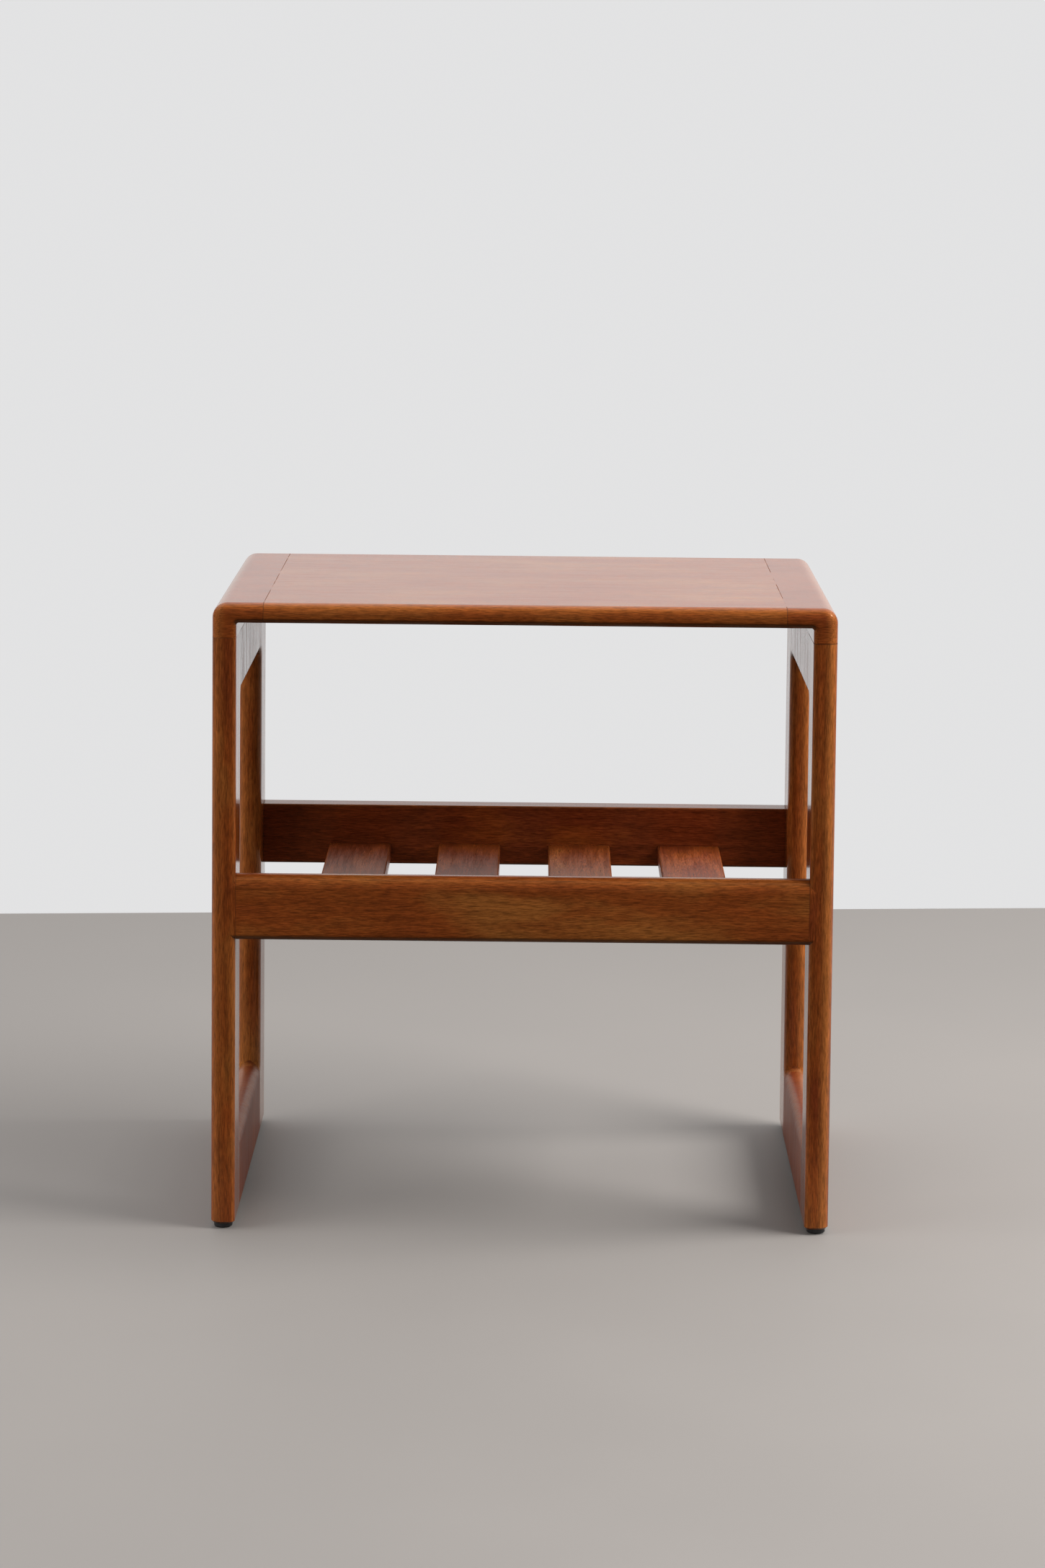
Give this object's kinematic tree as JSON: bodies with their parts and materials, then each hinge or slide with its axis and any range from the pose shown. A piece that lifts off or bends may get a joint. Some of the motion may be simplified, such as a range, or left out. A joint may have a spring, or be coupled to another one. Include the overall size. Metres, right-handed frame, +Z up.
{
  "type": "magazine side table",
  "caption": "Inverted-U wooden side table with rounded edges, open side frames and a slatted magazine rack hung between front and rear rails.",
  "frame": {"origin": "on the floor, under the middle of the table", "axes": "+X to the right seen from the front, +Y from the front to the rear, +Z up"},
  "size_m": [0.5, 0.35, 0.51],
  "materials": {
    "stained_wood": "red-brown stain under a satin lacquer",
    "dowel_wood": "plain turned beech",
    "glide_plastic": "black moulded plastic",
    "nail_steel": "bright steel"
  },
  "bodies": {
    "root": {"top_panel": "stained_wood", "left_corner_block": "stained_wood", "right_corner_block": "stained_wood", "left_upper_rail": "stained_wood", "left_lower_rail": "stained_wood", "left_front_post": "stained_wood", "left_rear_post": "stained_wood", "right_upper_rail": "stained_wood", "right_lower_rail": "stained_wood", "right_front_post": "stained_wood", "right_rear_post": "stained_wood", "front_rack_rail": "stained_wood", "rear_rack_rail": "stained_wood", "rack_slat_1": "stained_wood", "rack_slat_2": "stained_wood", "rack_slat_3": "stained_wood", "rack_slat_4": "stained_wood", "top_panel_dowels": "dowel_wood", "corner_block_dowels": "dowel_wood", "upper_rail_dowels": "dowel_wood", "lower_rail_dowels": "dowel_wood", "rack_rail_dowels": "dowel_wood", "slat_dowels": "dowel_wood", "left_front_glide": "glide_plastic", "left_rear_glide": "glide_plastic", "right_front_glide": "glide_plastic", "right_rear_glide": "glide_plastic", "glide_nails": "nail_steel"}
  },
  "joints": []
}
